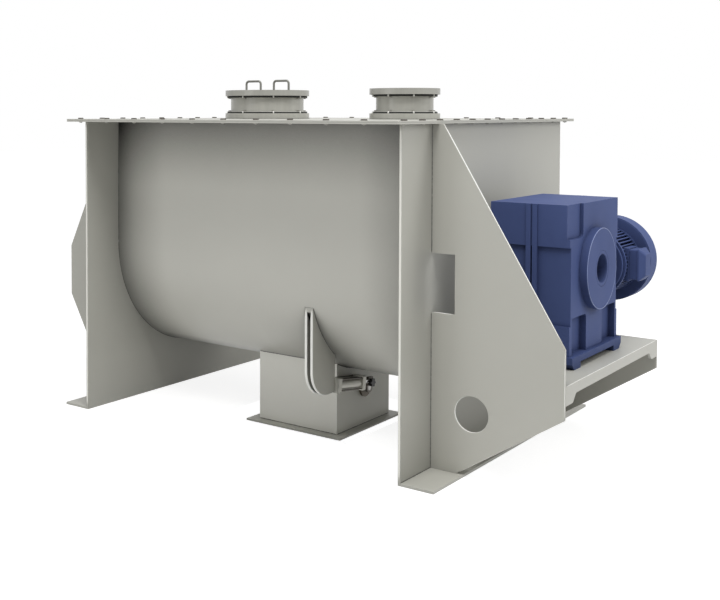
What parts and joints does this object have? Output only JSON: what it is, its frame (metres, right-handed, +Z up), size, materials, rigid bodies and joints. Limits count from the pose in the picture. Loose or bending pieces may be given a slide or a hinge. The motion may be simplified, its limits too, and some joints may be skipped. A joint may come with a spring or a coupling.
{
  "type": "horizontal mixer",
  "caption": "Horizontal ribbon mixer: trough on end plates with bolted lid, nozzles, bottom outlet flap with air cylinder, and gear motor on a side platform.",
  "frame": {"origin": "middle of the machine's footprint, at the height of the outlet flange's underside, 62 mm below the feet", "axes": "+X along the rotor shaft towards the gearbox, +Y away from the flap drive's side towards the motor, +Z up"},
  "size_m": [2.832, 1.882, 1.786],
  "materials": {
    "body_paint": "warm grey satin paint over welded steel",
    "gasket": "black rubber sheet",
    "pale_gasket": "pale silicone sheet",
    "zinc_bolts": "dull zinc plated steel",
    "rotor_steel": "brushed steel",
    "brass_bush": "turned bearing bronze",
    "knob_black": "black moulded plastic",
    "cylinder_alloy": "clear anodised aluminium",
    "bright_rod": "ground bright steel",
    "bearing_iron": "painted cast iron",
    "drive_paint": "slate blue satin paint over cast iron",
    "fan_plastic": "dark moulded fan on a steel shaft"
  },
  "bodies": {
    "frame": {"trough_shell": "body_paint", "trough_rim": "body_paint", "drive_end_plate": "body_paint", "idle_end_plate": "body_paint", "drive_foot": "body_paint", "idle_foot": "body_paint", "near_gusset": "body_paint", "far_gusset": "body_paint", "idle_gussets": "body_paint", "drive_platform": "body_paint", "lid_plate": "body_paint", "manhole_pad": "body_paint", "manhole_neck": "body_paint", "inlet_pad": "body_paint", "inlet_neck": "body_paint", "inlet_cover": "body_paint", "outlet_box": "body_paint", "outlet_flange": "body_paint", "outlet_throat": "body_paint", "bracket_cheeks": "body_paint", "bracket_cap": "body_paint", "cylinder_mount": "body_paint", "lid_gasket": "pale_gasket", "manhole_gaskets": "gasket", "inlet_gaskets": "gasket", "lid_bolts": "zinc_bolts", "manhole_cover_bolts": "zinc_bolts", "manhole_base_bolts": "zinc_bolts", "inlet_cover_bolts": "zinc_bolts", "inlet_base_bolts": "zinc_bolts", "flap_bushes": "brass_bush", "cylinder_caps": "cylinder_alloy", "cylinder_barrel": "cylinder_alloy", "cylinder_tie_rods": "bright_rod", "drive_bearing": "bearing_iron", "idle_bearing": "bearing_iron", "gearbox_housing": "drive_paint", "motor_adapter": "drive_paint", "motor_frame": "drive_paint", "motor_end_shield": "drive_paint", "fan_cowl": "drive_paint", "terminal_box": "drive_paint"},
    "rotor": {"rotor_shaft": "rotor_steel", "rotor_arms": "rotor_steel", "outer_ribbon_drive": "rotor_steel", "outer_ribbon_idle": "rotor_steel", "inner_ribbon_drive": "rotor_steel", "inner_ribbon_idle": "rotor_steel", "hollow_shaft": "drive_paint"},
    "motor_armature": {"motor_rotor": "fan_plastic"},
    "manhole_lid": {"manhole_cover": "body_paint", "manhole_handles": "body_paint"},
    "flap": {"flap_blade": "rotor_steel", "flap_shaft": "rotor_steel", "flap_lever": "rotor_steel"},
    "rod": {"piston_rod": "bright_rod", "rod_eye": "bright_rod"},
    "knob": {"lock_knob": "knob_black"}
  },
  "joints": [
    {"name": "rotor_turn", "type": "hinge", "parent": "frame", "child": "rotor", "pos_m": [0.825, 0, 0.922], "axis": [1, 0, 0], "continuous": true},
    {"name": "motor_turn", "type": "hinge", "parent": "frame", "child": "motor_armature", "pos_m": [1.16, 0.5, 0.886], "axis": [0, 1, 0], "continuous": true},
    {"name": "cover_lift", "type": "slide", "parent": "frame", "child": "manhole_lid", "axis": [0, 0, 1], "range_m": [0, 0.3]},
    {"name": "flap_turn", "type": "hinge", "parent": "frame", "child": "flap", "pos_m": [-0.102, 0, 0.202], "axis": [1, 0, 0], "range_deg": [-80, 0]},
    {"name": "rod_travel", "type": "slide", "parent": "frame", "child": "rod", "axis": [0, 0.9903, -0.1392], "range_m": [0, 0.0519]},
    {"name": "knob_turn", "type": "hinge", "parent": "flap", "child": "knob", "pos_m": [0.2, -0.0212, 0.23592], "axis": [1, 0, 0], "range_deg": [0, 270]}
  ],
  "couplings": [
    {"joint": "motor_turn", "follows": "rotor_turn", "ratio": 48},
    {"joint": "rod_travel", "follows": "flap_turn", "m_per_rad": -0.036829}
  ]
}
